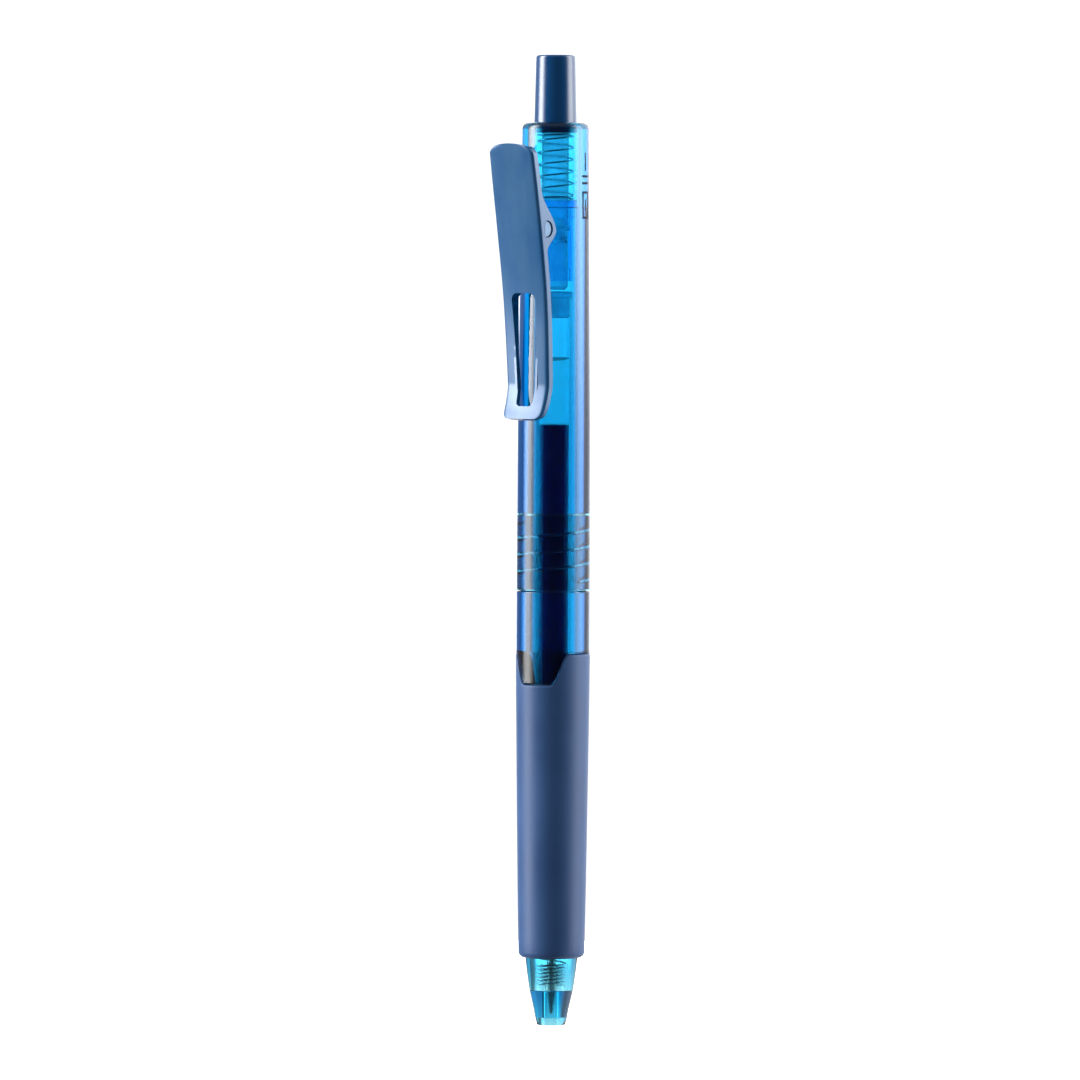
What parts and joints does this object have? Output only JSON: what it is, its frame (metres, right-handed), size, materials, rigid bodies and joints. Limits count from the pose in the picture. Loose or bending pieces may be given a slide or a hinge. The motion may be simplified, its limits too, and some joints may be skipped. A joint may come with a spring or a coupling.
{
  "type": "gel pen",
  "caption": "Click-action gel pen with a clear tinted barrel, rubber grip, sprung metal clip, push button and a spring-returned refill.",
  "frame": {"origin": "on the pen's long axis, in the middle of the grip, 32 mm above the nose end", "axes": "+Z along the pen's axis towards the push button; the clip faces -Y"},
  "size_m": [0.011, 0.0161, 0.1419],
  "materials": {
    "clear_blue_plastic": "clear tinted polycarbonate, polished",
    "grip_rubber": "matte slate-blue moulded rubber",
    "button_plastic": "glossy deep-blue moulded plastic",
    "inner_plastic": "natural acetal",
    "clip_metal": "satin blue-grey metallic lacquer on sheet steel",
    "spring_steel": "drawn spring wire",
    "clear_tube": "clear polypropylene tube",
    "ink": "blue-black gel ink",
    "grease": "clear grease",
    "point_steel": "turned stainless steel"
  },
  "bodies": {
    "rear_section": {"rear_barrel": "clear_blue_plastic", "guide_sleeve": "clear_blue_plastic", "clip_pin": "clear_blue_plastic", "clip_spring": "spring_steel"},
    "knock": {"push_button": "button_plastic", "plunger": "inner_plastic", "rear_spring": "spring_steel"},
    "refill": {"cam_rotor": "inner_plastic", "refill_tail_plug": "inner_plastic", "refill_tube": "clear_tube", "ink": "ink", "ink_follower": "grease", "point_holder": "clear_tube", "metal_point": "point_steel", "writing_ball": "point_steel", "ball_spring": "spring_steel"},
    "clip_lever": {"clip": "clip_metal"},
    "return_spring": {"front_spring": "spring_steel"},
    "front_section": {"front_barrel": "clear_blue_plastic", "grip_sleeve": "grip_rubber"}
  },
  "joints": [
    {"name": "knock_slide", "type": "slide", "parent": "rear_section", "child": "knock", "axis": [0, 0, -1], "range_m": [0, 0.0055], "stiffness_N_per_m": 100, "springref_m": -0.004, "deforming": ["rear_spring"]},
    {"name": "refill_slide", "type": "slide", "parent": "rear_section", "child": "refill", "axis": [0, 0, -1], "range_m": [0, 0.0055], "stiffness_N_per_m": 100, "springref_m": -0.004, "deforming": ["front_spring"]},
    {"name": "clip_hinge", "type": "hinge", "parent": "rear_section", "child": "clip_lever", "pos_m": [0, -0.0068, 0.08455], "axis": [-1, 0, 0], "range_deg": [0, 10], "stiffness_Nm_per_rad": 0.05, "springref_deg": -20.05, "deforming": ["clip_spring"]},
    {"name": "front_advance", "type": "slide", "parent": "rear_section", "child": "return_spring", "axis": [0, 0, -1], "range_m": [0, 0.00972]},
    {"name": "front_unscrew", "type": "hinge", "parent": "return_spring", "child": "front_section", "pos_m": [0, 0, 0], "axis": [0, 0, -1], "range_deg": [0, 1440]}
  ],
  "couplings": [
    {"joint": "refill_slide", "follows": "knock_slide", "ratio": 1},
    {"joint": "front_unscrew", "follows": "front_advance", "rad_per_m": 2585.7}
  ]
}
